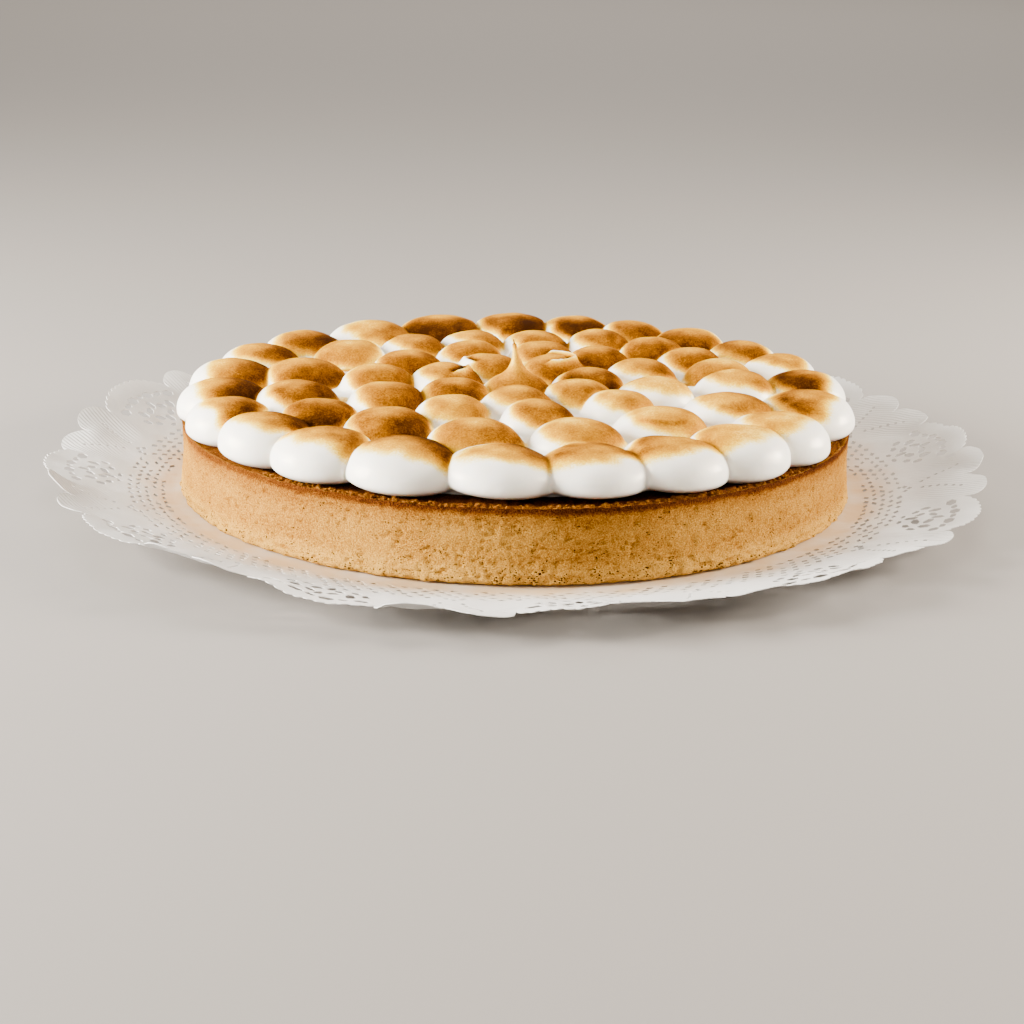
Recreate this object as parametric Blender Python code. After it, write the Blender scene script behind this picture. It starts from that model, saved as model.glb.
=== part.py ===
"""Lemon meringue tart, 24 cm across, on its lace paper. Metres, +Z up.

The origin is on the underside, in the middle of the paper, and the tart's axis is Z.
Three solids: the baked shell with its filling, the piped meringue, and the paper under them.
"""
import math
import random

import bmesh
import bpy

MM = 0.001

# Shell: a shortcrust wall and base, full of set filling up to just under the rim
TART_RADIUS = 120.0 * MM
SHELL_HEIGHT = 25.3 * MM
BASE_RADIUS = 1.008 * TART_RADIUS
WAIST = 0.7 * MM              # how far the wall pulls in halfway up
BASE_ROUND = 2.2 * MM
RIM_WIDTH = 6.0 * MM
RIDGE_WIDTH = 1.1 * MM        # sharp outer edge left by the tart ring
RIDGE_HEIGHT = 0.9 * MM
RIDGE_WEAR = 0.35 * MM        # how much the crumbly edge goes up and down
SHELL_SIDES = 96

# Meringue: egg-shaped dollops in rings, each nose outwards, joined by a thin domed layer
NOSE_LENGTH = 15.5 * MM
TAIL_LENGTH = 18.0 * MM
DOLLOP_WIDTH = 30.0 * MM
TAIL_NARROWING = 0.22
DOLLOP_HALF_HEIGHT = 8.4 * MM
CROWN_HEIGHT = 13.8 * MM      # crown of an outer dollop above the rim
DOME = 2.2 * MM               # how much higher the middle stands than the edge
LAYER_HEIGHT = 5.0 * MM
LAYER_RADIUS = 0.93 * TART_RADIUS
OUTER_REACH = 124.0 * MM      # the outer noses stand a little over the shell's edge
SPACING = 32.5 * MM           # room at which a dollop has the sizes above
SIZE_RANGE = (0.84, 1.12)
PEAK_HEIGHT = 13.0 * MM
PEAK_FOOT = 8.0 * MM
PEAK_PLACE = (0.0, -0.06)     # shares of the tart's radius
# Where each dollop was piped: share of the tart's radius, then degrees round from +X
RINGS = (
    (0.900, (6, 21, 35, 50, 64, 77, 91, 107, 124, 142, 157, 172, 188, 203, 218, 233, 249, 267,
             284, 300, 315, 329, 348)),
    (0.675, (4, 19, 34, 49, 66, 142, 169, 194, 213, 338)),
    (0.600, (84, 104, 124, 233, 259, 286, 313)),
    (0.430, (24, 53, 79, 110, 143, 175, 206, 352)),
    (0.385, (241, 279, 321)),
    (0.230, (10, 60, 112, 165, 217, 270, 325)),
)

# Lace paper, flat under the tart and pressed up around it
PAPER_RADIUS = 169.0 * MM
PAPER_THICKNESS = 0.4 * MM
PAPER_FLAT_RADIUS = BASE_RADIUS + 2.0 * MM
PAPER_RISE = 14.0 * MM
PAPER_LEAN = 4.0 * MM         # how much higher the paper stands at the back than at the sides
PAPER_RUFFLE = 3.0 * MM
SECTORS = 12                  # repeats of the lace round the paper
LOBES = (0.5, 0.25, 0.25)     # each repeat's edge: one broad lace arc and two smooth lobes
LOBE_DEPTH = 6.0 * MM
COLUMNS_PER_SECTOR = 10

GAP = 0.3 * MM
SHELL_FLOOR = PAPER_THICKNESS + GAP
RIM_TOP = SHELL_FLOOR + SHELL_HEIGHT
FILLING_TOP = RIM_TOP - RIDGE_HEIGHT - 0.4 * MM


def material(name, colour, roughness):
    made = bpy.data.materials.new(name)
    made.use_nodes = True
    surface = made.node_tree.nodes["Principled BSDF"]
    surface.inputs["Base Color"].default_value = (*colour, 1.0)
    surface.inputs["Roughness"].default_value = roughness
    surface.inputs["Metallic"].default_value = 0.0
    return made


def new_object(name, mesh, look=None, smooth=True):
    made = bpy.data.objects.new(name, mesh)
    bpy.context.scene.collection.objects.link(made)
    if look:
        mesh.materials.append(look)
    for face in mesh.polygons:
        face.use_smooth = smooth
    return made


def lathe(name, outline, sides):
    """Revolve (radius, height) points about Z; the first and last points lie on the axis."""
    shape = bmesh.new()
    rings = []
    for radius, height in outline[1:-1]:
        ring = []
        for k in range(sides):
            turn = math.tau * k / sides
            ring.append(shape.verts.new((radius * math.cos(turn), radius * math.sin(turn), height)))
        rings.append(ring)
    low = shape.verts.new((0.0, 0.0, outline[0][1]))
    high = shape.verts.new((0.0, 0.0, outline[-1][1]))
    for k in range(sides):
        following = (k + 1) % sides
        shape.faces.new((low, rings[0][following], rings[0][k]))
        shape.faces.new((high, rings[-1][k], rings[-1][following]))
        for inner, outer in zip(rings, rings[1:]):
            shape.faces.new((inner[k], inner[following], outer[following], outer[k]))
    mesh = bpy.data.meshes.new(name)
    shape.to_mesh(mesh)
    shape.free()
    return mesh


def wall_outline():
    """Outside of the shell from its foot to the top of the ridge."""
    outline = []
    for k in range(4):
        turn = math.radians(90.0 * k / 3)
        outline.append((
            BASE_RADIUS - BASE_ROUND * (1.0 - math.sin(turn)),
            SHELL_FLOOR + BASE_ROUND * (1.0 - math.cos(turn)),
        ))
    steps = 4
    for k in range(1, steps + 1):
        up = k / steps
        radius = BASE_RADIUS + (TART_RADIUS - BASE_RADIUS) * up - WAIST * math.sin(math.pi * up)
        height = SHELL_FLOOR + BASE_ROUND + (SHELL_HEIGHT - BASE_ROUND) * up
        outline.append((radius, height))
    return outline


def make_shell():
    rim_inside = TART_RADIUS - RIM_WIDTH
    outline = [(0.0, SHELL_FLOOR)]
    outline += wall_outline()
    outline += [
        (TART_RADIUS - RIDGE_WIDTH, RIM_TOP - 0.1 * MM),
        (TART_RADIUS - 1.6 * RIDGE_WIDTH, RIM_TOP - RIDGE_HEIGHT),
        (rim_inside, RIM_TOP - RIDGE_HEIGHT),
        (rim_inside - 0.6 * MM, FILLING_TOP),
        (0.0, FILLING_TOP),
    ]
    mesh = lathe("crust", outline, SHELL_SIDES)
    wear = random.Random(5)
    drop = [wear.uniform(0.0, RIDGE_WEAR) for _ in range(SHELL_SIDES)]
    for vertex in mesh.vertices:
        if vertex.co.z > RIM_TOP - 0.5 * RIDGE_HEIGHT:
            turn = math.atan2(vertex.co.y, vertex.co.x) % math.tau
            vertex.co.z -= drop[round(turn / math.tau * SHELL_SIDES) % SHELL_SIDES]
    return new_object("crust", mesh, material("shortcrust", (0.62, 0.40, 0.19), 0.8))


def dome(share):
    """Height of the middle over the edge, at this share of the tart's radius."""
    return DOME * (1.0 - min(1.0, share) ** 2)


def room(place, places):
    """Mean distance to the four nearest neighbours."""
    apart = sorted(math.dist(place, other) for other in places)
    return sum(apart[1:5]) / 4.0


def piped_places():
    """Each dollop as (distance from the axis, angle, size): it swells into the room it has."""
    places = [(PEAK_PLACE[0] * TART_RADIUS, PEAK_PLACE[1] * TART_RADIUS)]
    for share, angles in RINGS:
        for angle in angles:
            turn = math.radians(angle)
            places.append((share * TART_RADIUS * math.cos(turn), share * TART_RADIUS * math.sin(turn)))
    piped = []
    for x, y in places:
        size = min(max(room((x, y), places) / SPACING, SIZE_RANGE[0]), SIZE_RANGE[1])
        out = math.hypot(x, y)
        if out > 0.8 * TART_RADIUS:
            out = OUTER_REACH - size * NOSE_LENGTH
        piped.append((out, math.atan2(y, x), size))
    return piped


def add_dollop(shape, middle, angle, size):
    """An egg lying on its side, the fat end outwards."""
    made = bmesh.ops.create_uvsphere(shape, u_segments=20, v_segments=12, radius=1.0)
    low = RIM_TOP + CROWN_HEIGHT - DOLLOP_HALF_HEIGHT + dome(middle / TART_RADIUS)
    for vertex in made["verts"]:
        along, across, up = vertex.co
        narrow = 1.0 - TAIL_NARROWING * max(0.0, -along)
        along *= size * (NOSE_LENGTH if along > 0.0 else TAIL_LENGTH)
        across *= size * 0.5 * DOLLOP_WIDTH * narrow
        vertex.co = (
            (middle + along) * math.cos(angle) - across * math.sin(angle),
            (middle + along) * math.sin(angle) + across * math.cos(angle),
            low + DOLLOP_HALF_HEIGHT * up,
        )


def add_cone(shape, place, foot, top, foot_radius, top_radius):
    made = bmesh.ops.create_cone(
        shape, cap_ends=True, segments=32, radius1=foot_radius, radius2=top_radius, depth=top - foot)
    for vertex in made["verts"]:
        vertex.co.x += place[0] * TART_RADIUS
        vertex.co.y += place[1] * TART_RADIUS
        vertex.co.z += 0.5 * (foot + top)


def add_layer(shape):
    """The domed layer that the dollops stand on, down into the filling's place."""
    add_cone(shape, (0.0, 0.0), FILLING_TOP - 2.0 * MM, RIM_TOP + LAYER_HEIGHT, LAYER_RADIUS, LAYER_RADIUS)
    for share in (0.85, 0.7, 0.5, 0.3):
        radius = share * TART_RADIUS
        add_cone(shape, (0.0, 0.0), RIM_TOP, RIM_TOP + LAYER_HEIGHT + dome(share), radius + 6.0 * MM, radius)


def add_peak(shape):
    """The pulled-up tip of the middle dollop."""
    crown = RIM_TOP + CROWN_HEIGHT + DOME
    steps = 6
    for k in range(steps):
        low = k / steps
        high = (k + 1) / steps
        add_cone(
            shape, PEAK_PLACE, crown + PEAK_HEIGHT * (low - 0.2), crown + PEAK_HEIGHT * (high + 0.02),
            PEAK_FOOT * (1.0 - low) ** 1.8 + 0.9 * MM, PEAK_FOOT * (1.0 - high) ** 1.8 + 0.9 * MM)


def make_meringue():
    shape = bmesh.new()
    for place in piped_places():
        add_dollop(shape, *place)
    add_layer(shape)
    add_peak(shape)
    mesh = bpy.data.meshes.new("meringue")
    shape.to_mesh(mesh)
    shape.free()
    made = new_object("meringue", mesh, material("meringue", (0.91, 0.86, 0.77), 0.4))
    merge = made.modifiers.new("merge", "REMESH")
    merge.mode = "VOXEL"
    merge.voxel_size = 1.5 * MM
    soften = made.modifiers.new("soften", "SMOOTH")
    soften.iterations = 4
    thin = made.modifiers.new("thin", "DECIMATE")
    thin.ratio = 0.0405
    seat = made.modifiers.new("seat", "BOOLEAN")
    seat.operation = "DIFFERENCE"
    seat.solver = "EXACT"
    seat.object = make_seat_cutter()
    return made


def make_seat_cutter():
    """Room for the rim and the filling, with the gap, taken off the meringue's underside."""
    outline = [
        (0.0, -20.0 * MM),
        (TART_RADIUS + 20.0 * MM, -20.0 * MM),
        (TART_RADIUS + 20.0 * MM, RIM_TOP + GAP),
        (TART_RADIUS - RIM_WIDTH + 2.0 * MM, RIM_TOP + GAP),
        (TART_RADIUS - RIM_WIDTH - 1.0 * MM, FILLING_TOP + GAP),
        (0.0, FILLING_TOP + GAP),
    ]
    made = new_object("seat_cutter", lathe("seat_cutter", outline, 72), smooth=False)
    made.hide_render = True
    made.display_type = "WIRE"
    return made


def paper_edge(turn):
    """Outline of the paper: arcs that meet in notches."""
    place = turn * SECTORS / math.tau % 1.0
    for width in LOBES:
        if place < width:
            break
        place -= width
    bulge = math.sin(math.pi * min(1.0, place / width)) ** 0.5
    return PAPER_RADIUS - LOBE_DEPTH * (1.0 - bulge)


def paper_height(share, turn):
    """Lift of the paper from the flat part (share 0) to its edge (share 1)."""
    ruffle = 0.6 * math.sin(5.0 * turn + 0.8) + 0.4 * math.sin(9.0 * turn + 2.0)
    rise = PAPER_RISE + PAPER_LEAN * math.sin(turn)
    return rise * share ** 1.3 + PAPER_RUFFLE * ruffle * share ** 2


def paper_side(shape, lift, columns):
    """One face of the paper: its middle point and its rings, from the flat part's edge outwards."""
    rings = []
    steps = 3
    for step in range(steps + 1):
        share = step / steps
        ring = []
        for k in range(columns):
            turn = math.tau * k / columns
            radius = PAPER_FLAT_RADIUS + (paper_edge(turn) - PAPER_FLAT_RADIUS) * share
            height = lift + paper_height(share, turn)
            ring.append(shape.verts.new((radius * math.cos(turn), radius * math.sin(turn), height)))
        rings.append(ring)
    return shape.verts.new((0.0, 0.0, lift)), rings


def make_paper():
    columns = SECTORS * COLUMNS_PER_SECTOR
    shape = bmesh.new()
    sides = [paper_side(shape, lift, columns) for lift in (0.0, PAPER_THICKNESS)]
    for k in range(columns):
        following = (k + 1) % columns
        for middle, rings in sides:
            shape.faces.new((middle, rings[0][k], rings[0][following]))
            for inner, outer in zip(rings, rings[1:]):
                shape.faces.new((inner[k], outer[k], outer[following], inner[following]))
        under = sides[0][1][-1]
        over = sides[1][1][-1]
        shape.faces.new((under[k], under[following], over[following], over[k]))
    bmesh.ops.recalc_face_normals(shape, faces=shape.faces)
    mesh = bpy.data.meshes.new("lace_paper")
    shape.to_mesh(mesh)
    shape.free()
    return new_object("lace_paper", mesh, material("lace_paper", (0.83, 0.81, 0.79), 0.75), smooth=False)


def main():
    for old in list(bpy.data.objects):
        bpy.data.objects.remove(old)
    make_shell()
    make_meringue()
    make_paper()


main()
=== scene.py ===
"""Lemon meringue tart on its lace paper: the looks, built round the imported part."""
import math
import random

import bmesh
import bpy
import numpy as np
from mathutils import Matrix, Vector, geometry, noise


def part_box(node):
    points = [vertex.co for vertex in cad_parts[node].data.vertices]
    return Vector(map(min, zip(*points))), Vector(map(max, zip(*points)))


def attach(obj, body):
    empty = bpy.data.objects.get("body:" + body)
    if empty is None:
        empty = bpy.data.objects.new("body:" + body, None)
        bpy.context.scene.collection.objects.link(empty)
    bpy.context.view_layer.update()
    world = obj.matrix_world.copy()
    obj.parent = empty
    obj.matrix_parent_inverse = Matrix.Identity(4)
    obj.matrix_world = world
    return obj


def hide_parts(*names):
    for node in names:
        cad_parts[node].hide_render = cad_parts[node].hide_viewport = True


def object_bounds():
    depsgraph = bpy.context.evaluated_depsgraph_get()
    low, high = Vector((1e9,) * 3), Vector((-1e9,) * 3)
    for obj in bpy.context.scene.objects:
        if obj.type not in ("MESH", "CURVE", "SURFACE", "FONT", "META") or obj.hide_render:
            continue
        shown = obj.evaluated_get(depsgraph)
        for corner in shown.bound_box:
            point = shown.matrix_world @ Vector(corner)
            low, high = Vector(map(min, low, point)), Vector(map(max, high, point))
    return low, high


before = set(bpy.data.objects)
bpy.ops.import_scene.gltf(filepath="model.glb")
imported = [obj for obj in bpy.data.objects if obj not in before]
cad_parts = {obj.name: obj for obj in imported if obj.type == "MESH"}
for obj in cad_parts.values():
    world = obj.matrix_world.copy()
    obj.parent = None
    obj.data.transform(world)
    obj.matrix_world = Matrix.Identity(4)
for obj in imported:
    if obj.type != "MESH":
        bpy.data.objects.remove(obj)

CAD_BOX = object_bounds()
MM = 0.001

# The shell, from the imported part
SHELL_LOW, SHELL_HIGH = (Vector(corner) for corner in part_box("crust"))
PAPER_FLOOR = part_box("lace_paper")[0][2]
BASE_RADIUS = SHELL_HIGH.x
TART_RADIUS = BASE_RADIUS / 1.008
SHELL_FLOOR = SHELL_LOW.z
RIM_TOP = SHELL_HIGH.z
WAIST = 0.7 * MM
BASE_ROUND = 2.2 * MM
RIM_WIDTH = 6.0 * MM
RIDGE_WIDTH = 1.1 * MM
RIDGE_HEIGHT = 0.9 * MM
RIM_INNER = TART_RADIUS - RIM_WIDTH
FILLING_TOP = RIM_TOP - RIDGE_HEIGHT - 0.4 * MM
WALL_COLUMNS = 1152
PIT_COUNT = 1900
PIT_DEPTH = 0.75 * MM
PIT_REACH = 24.0 * MM
# Strips of rim that crumbs lie on: from and to in degrees, inner radius
CRUMB_BANDS = ((292.0, 365.0, 114.5 * MM), (225.0, 292.0, 115.4 * MM))
CRUMB_OUTER = 118.6 * MM
CRUMBS_PER_M2 = 480000.0
CRUMB_SIZES = (0.20 * MM, 0.90 * MM)
CRUMB_BAKE = 0.60

# Piped meringue
NOSE_LENGTH = 15.5 * MM
TAIL_LENGTH = 18.5 * MM
DOLLOP_WIDTH = 33.6 * MM
OUTER_WIDENING = 1.03
TAIL_NARROWING = 0.20
CROWN_HEIGHT = 13.6 * MM
MIDDLE_HEIGHT = 3.0 * MM
DOLLOP_RISE = CROWN_HEIGHT - MIDDLE_HEIGHT
DOLLOP_DROP = 5.4 * MM
UNDERCUT = 1.2 * MM
FULLNESS = 0.88
DOME = 2.2 * MM
LAYER_HEIGHT = 6.0 * MM
LAYER_RADIUS = 0.87 * TART_RADIUS
LAYER_EDGE_DROP = 3.4 * MM
OUTER_FROM = 0.8 * TART_RADIUS
OUTER_REACH = 121.8 * MM
SPACING = 32.5 * MM
SIZE_RANGE = (0.84, 1.12)
PEAK_HEIGHT = 13.0 * MM
PEAK_FOOT = 7.0 * MM
PEAK_PLACE = Vector((0.0, -0.06)) * TART_RADIUS
# Share of the tart's radius, then degrees round from +X
RINGS = (
    (0.900, (6, 21, 35, 50, 64, 77, 91, 107, 124, 142, 157, 172, 188, 203, 218, 233, 249, 267,
             284, 300, 315, 329, 348)),
    (0.675, (4, 19, 34, 49, 66, 142, 169, 194, 213, 338)),
    (0.600, (84, 104, 124, 233, 259, 286, 313)),
    (0.430, (24, 53, 79, 110, 143, 175, 206, 352)),
    (0.385, (241, 279, 321)),
    (0.230, (10, 60, 112, 165, 217, 270, 325)),
)
# Lips left by the nozzle: dollop, share of its half width, from and to in degrees, height
LIPS = (
    ((5, 60), 0.58, -115.0, 115.0, 1.9 * MM),
    ((5, 165), 0.66, -75.0, 35.0, 1.5 * MM),
    ((5, 112), 0.66, 150.0, 250.0, 0.9 * MM),
)
# Ledges where one stroke ended on another: dollop, share, from and to in degrees, drop
LEDGES = (
    ((2, 313), 0.58, 205.0, 335.0, 0.9 * MM),
)
# Dollops that the flame passed over quickly, and those it stayed on: ring number, degrees
PALE = {(2, 286), (2, 313), (4, 241), (4, 321), (0, 315), (0, 329), (3, 352), (1, 19), (1, 142),
        (0, 124)}
DARK = {(5, 165), (5, 217), (0, 203), (0, 218), (0, 233), (1, 213), (1, 194), (2, 233), (0, 6),
        (1, 66), (0, 91), (5, 10), (0, 249)}
TOAST = 0.56
TOAST_SPREAD = 0.06
PALE_LESS = 0.18
DARK_MORE = 0.09
# Front noses sit further in than the rest, and lower: how far in, and share of the height
FRONT = {(0, 218): (0.5 * MM, 1.0), (0, 233): (1.4 * MM, 1.0), (0, 249): (3.0 * MM, 0.98),
         (0, 267): (4.8 * MM, 0.91), (0, 284): (4.8 * MM, 0.93), (0, 300): (3.4 * MM, 0.98),
         (0, 315): (1.6 * MM, 1.0), (0, 329): (0.8 * MM, 1.0)}
CREASE_DEPTH = 0.7 * MM
CREASE_SET_BACK = 0.8 * MM
SKIN_UNEVENNESS = 0.35 * MM
MERINGUE_GRAIN = 0.80 * MM
MERINGUE_FACES = 190000

# Lace paper
PAPER_RADIUS = 169.0 * MM
PAPER_THICKNESS = 0.22 * MM
PAPER_FLAT_RADIUS = BASE_RADIUS + 2.0 * MM
PAPER_RISE = 14.0 * MM
PAPER_LEAN = 4.0 * MM
PAPER_RUFFLE = 3.0 * MM
LOBE_CURL = 7.0 * MM
LOBE_PULL = 3.0 * MM
SECTORS = 12
LOBES = (0.5, 0.25, 0.25)
LOBE_DEPTH = 8.0 * MM
SCALLOPS = 13
SCALLOP_DEPTH = 0.9 * MM
PAPER_GRAIN = 2.1 * MM

# Where the camera stands: its lens, and its place in tart radii from the middle of the shell's foot
LENS = 72.14
CAMERA_PLACE = Vector((-0.0411, -6.0344, 1.7489))
CAMERA_DOWN = math.radians(17.087)
CAMERA_ROLL = math.radians(0.948)
CAMERA_TURN = math.radians(0.326)


def colour(code):
    """sRGB hex to the linear values that shaders take."""
    parts = [int(code[k:k + 2], 16) / 255.0 for k in (1, 3, 5)]
    return tuple(c / 12.92 if c <= 0.04045 else ((c + 0.055) / 1.055) ** 2.4 for c in parts) + (1.0,)


def give(tree, made, inputs):
    """Set a node's inputs, by name or in order: to a value, an output or another node's first output."""
    for name, value in inputs.items() if isinstance(inputs, dict) else enumerate(inputs):
        if isinstance(value, bpy.types.Node):
            value = value.outputs[0]
        if isinstance(value, bpy.types.NodeSocket):
            tree.links.new(value, made.inputs[name])
        else:
            made.inputs[name].default_value = value


def put(tree, kind, inputs=(), stops=(), **settings):
    """Add a node with its settings and links; stops are (place, hex) for a colour ramp."""
    made = tree.nodes.new(kind)
    for name, value in settings.items():
        setattr(made, name, value)
    if stops:
        band = made.color_ramp.elements
        while len(band) < len(stops):
            band.new(0.5)
        for element, (place, shade) in zip(band, stops):
            element.position = place
            element.color = colour(shade)
    give(tree, made, inputs)
    return made


def new_material(name):
    made = bpy.data.materials.new(name)
    made.use_nodes = True
    tree = made.node_tree
    return made, tree, tree.nodes["Principled BSDF"]


def coat(mesh, material):
    mesh.materials.clear()
    mesh.materials.append(material)
    mesh.polygons.foreach_set("use_smooth", [True] * len(mesh.polygons))


def new_piece(name, mesh):
    made = bpy.data.objects.new(name, mesh)
    bpy.context.scene.collection.objects.link(made)
    return made


def bake(made):
    """Turn an object's modifiers into a plain mesh."""
    graph = bpy.context.evaluated_depsgraph_get()
    graph.update()
    mesh = bpy.data.meshes.new_from_object(made.evaluated_get(graph))
    made.modifiers.clear()
    made.data = mesh
    return made


def points_of(mesh):
    flat = np.empty(len(mesh.vertices) * 3)
    mesh.vertices.foreach_get("co", flat)
    return flat.reshape(-1, 3)


def move_points(mesh, points):
    mesh.vertices.foreach_set("co", points.ravel())
    mesh.update()


def smoothstep(low, high, value):
    share = np.clip((value - low) / (high - low), 0.0, 1.0)
    return share * share * (3.0 - 2.0 * share)


def noise_at(points, size, seed=0.0):
    """Smooth noise, about -1 to 1, with features of the given size."""
    return np.array([noise.noise(Vector(p) / size + Vector((seed, seed, seed))) for p in points])


# ---------------------------------------------------------------- materials

def toasted_meringue():
    """Italian meringue, piped and browned with a flame: satin white, then caramel with dark specks."""
    made, tree, surface = new_material("toasted_italian_meringue")
    place = put(tree, "ShaderNodeTexCoord").outputs["Object"]
    toast = put(tree, "ShaderNodeAttribute", attribute_name="toast").outputs["Fac"]
    # sugar specks of 0.7 mm that catch the flame first, and drifts of 6 mm in how far it went
    speck = put(tree, "ShaderNodeTexNoise", {
        "Vector": place, "Scale": 1.0 / (0.7 * MM), "Detail": 3.0, "Roughness": 0.8})
    drift = put(tree, "ShaderNodeTexNoise", {
        "Vector": place, "Scale": 1.0 / (6.0 * MM), "Detail": 2.0, "Roughness": 0.5})
    speck_part = put(tree, "ShaderNodeMath", (speck, 0.5), operation="SUBTRACT")
    drift_part = put(tree, "ShaderNodeMath", (drift, 0.5), operation="SUBTRACT")
    uneven = put(tree, "ShaderNodeMath", (speck_part, 1.7, drift_part), operation="MULTIPLY_ADD")
    share = put(tree, "ShaderNodeMath", (toast, 0.45), operation="POWER")
    spread = put(tree, "ShaderNodeMath", (uneven, share), operation="MULTIPLY")
    browned = put(tree, "ShaderNodeMath", (spread, 0.55, toast), operation="MULTIPLY_ADD")
    skin = put(tree, "ShaderNodeValToRGB", {"Fac": browned}, stops=(
        (0.0, "#F6F0E4"), (0.04, "#F6E096"), (0.12, "#EABC22"), (0.24, "#C88E00"),
        (0.42, "#A06800"), (0.62, "#704000"), (0.82, "#442200"), (1.0, "#261002")))
    # the browner it is, the drier, duller and less see-through
    dry = put(tree, "ShaderNodeMapRange", {"Value": browned, "To Min": 0.34, "To Max": 0.62})
    sheen = put(tree, "ShaderNodeMapRange", {
        "Value": browned, "From Max": 0.25, "To Min": 0.5, "To Max": 0.01})
    depth = put(tree, "ShaderNodeMapRange", {
        "Value": browned, "From Max": 0.3, "To Min": 0.24, "To Max": 0.03})
    # beaten air: shallow unevenness of 2.5 mm under a fine skin of 0.5 mm
    fine = put(tree, "ShaderNodeTexNoise", {"Vector": place, "Scale": 1.0 / (0.5 * MM), "Detail": 2.0})
    soft = put(tree, "ShaderNodeTexNoise", {"Vector": place, "Scale": 1.0 / (2.5 * MM), "Detail": 1.0})
    under = put(tree, "ShaderNodeBump", {"Height": soft, "Strength": 0.10, "Distance": 0.5 * MM})
    crisp = put(tree, "ShaderNodeMath", (fine, toast), operation="MULTIPLY")
    over = put(tree, "ShaderNodeBump", {
        "Height": crisp, "Strength": 0.35, "Distance": 0.2 * MM, "Normal": under})
    give(tree, surface, {
        "Base Color": skin, "Roughness": dry, "IOR": 1.45, "Specular IOR Level": sheen,
        "Specular Tint": colour("#FFE7B8"), "Subsurface Weight": depth,
        "Subsurface Radius": (1.0, 0.75, 0.5), "Subsurface Scale": 2.5 * MM, "Normal": over})
    return made


def baked_shortcrust():
    """Shortcrust baked in a ring: sandy and matt, full of fine pores, browner up at the rim."""
    made, tree, surface = new_material("baked_shortcrust")
    place = put(tree, "ShaderNodeTexCoord").outputs["Object"]
    # the bake value holds browning with painted light mixed in: a painted highlight on the ridge, painted
    # shade in the pits and the tear
    baked = put(tree, "ShaderNodeAttribute", attribute_name="bake").outputs["Fac"]
    # clouds of 11 mm in how brown it is, and sandy grain of 0.5 mm
    cloud = put(tree, "ShaderNodeTexNoise", {
        "Vector": place, "Scale": 1.0 / (11.0 * MM), "Detail": 3.0, "Roughness": 0.55})
    sand = put(tree, "ShaderNodeTexNoise", {
        "Vector": place, "Scale": 1.0 / (0.5 * MM), "Detail": 3.0, "Roughness": 0.8})
    shift = put(tree, "ShaderNodeMath", (cloud, 0.18, -0.09), operation="MULTIPLY_ADD")
    grain = put(tree, "ShaderNodeMath", (sand, 1.35, -0.675), operation="MULTIPLY_ADD")
    both = put(tree, "ShaderNodeMath", (shift, grain), operation="ADD")
    browned = put(tree, "ShaderNodeMath", (both, baked), operation="ADD")
    crumb = put(tree, "ShaderNodeValToRGB", {"Fac": browned}, stops=(
        (0.0, "#E0AC4C"), (0.20, "#CB9436"), (0.40, "#A86F1E"), (0.62, "#7B450E"),
        (0.84, "#572909"), (1.0, "#331505")))
    # pores of 0.6 to 2 mm, flattened by the weight of the dough; most of the face has none; the pores are
    # painted dark brown, painted shade in them
    flat = put(tree, "ShaderNodeMapping", {"Vector": place, "Scale": (1.0, 1.0, 1.7)})
    warp = put(tree, "ShaderNodeTexNoise", {"Vector": place, "Scale": 1.0 / (0.9 * MM), "Detail": 3.0})
    bent = put(tree, "ShaderNodeMixRGB", {
        "Fac": 0.0011, "Color1": flat, "Color2": warp.outputs["Color"]}, blend_type="ADD")
    cells = put(tree, "ShaderNodeTexVoronoi", {"Vector": bent, "Scale": 1.0 / (1.15 * MM)})
    patch = put(tree, "ShaderNodeTexNoise", {"Vector": place, "Scale": 1.0 / (3.4 * MM), "Detail": 2.0})
    width = put(tree, "ShaderNodeMapRange", {
        "Value": patch, "From Min": 0.37, "From Max": 0.70, "To Min": 0.0, "To Max": 0.34})
    # the dough opened up into larger pores along its foot
    height = put(tree, "ShaderNodeSeparateXYZ", (place,)).outputs["Z"]
    foot = put(tree, "ShaderNodeMapRange", {
        "Value": height, "From Min": SHELL_FLOOR + 8.0 * MM, "From Max": SHELL_FLOOR + 1.0 * MM,
        "To Min": 0.0, "To Max": 0.13})
    opened = put(tree, "ShaderNodeMath", (width, foot), operation="ADD")
    pit = put(tree, "ShaderNodeMath", (opened, cells), operation="SUBTRACT")
    pore = put(tree, "ShaderNodeMapRange", {"Value": pit, "From Max": 0.04})
    # painted shade: dark brown mixed into the pores
    pore_shade = put(tree, "ShaderNodeMix", {
        "Factor": pore, 6: crumb, 7: colour("#3C1F08")}, data_type="RGBA").outputs[2]
    # lumps of 2.2 mm under the sandy grain, with the pores sunk into it
    coarse = put(tree, "ShaderNodeTexNoise", {
        "Vector": place, "Scale": 1.0 / (2.2 * MM), "Detail": 3.0, "Roughness": 0.6})
    rough = put(tree, "ShaderNodeBump", {"Height": coarse, "Strength": 0.55, "Distance": 0.8 * MM})
    sandy = put(tree, "ShaderNodeBump", {
        "Height": sand, "Strength": 1.0, "Distance": 1.2 * MM, "Normal": rough})
    sunk = put(tree, "ShaderNodeBump", {
        "Height": pore, "Strength": 0.9, "Distance": 0.8 * MM, "Normal": sandy}, invert=True)
    give(tree, surface, {
        "Base Color": pore_shade, "Roughness": 0.82, "IOR": 1.45, "Specular IOR Level": 0.02, "Normal": sunk})
    return made


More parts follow.
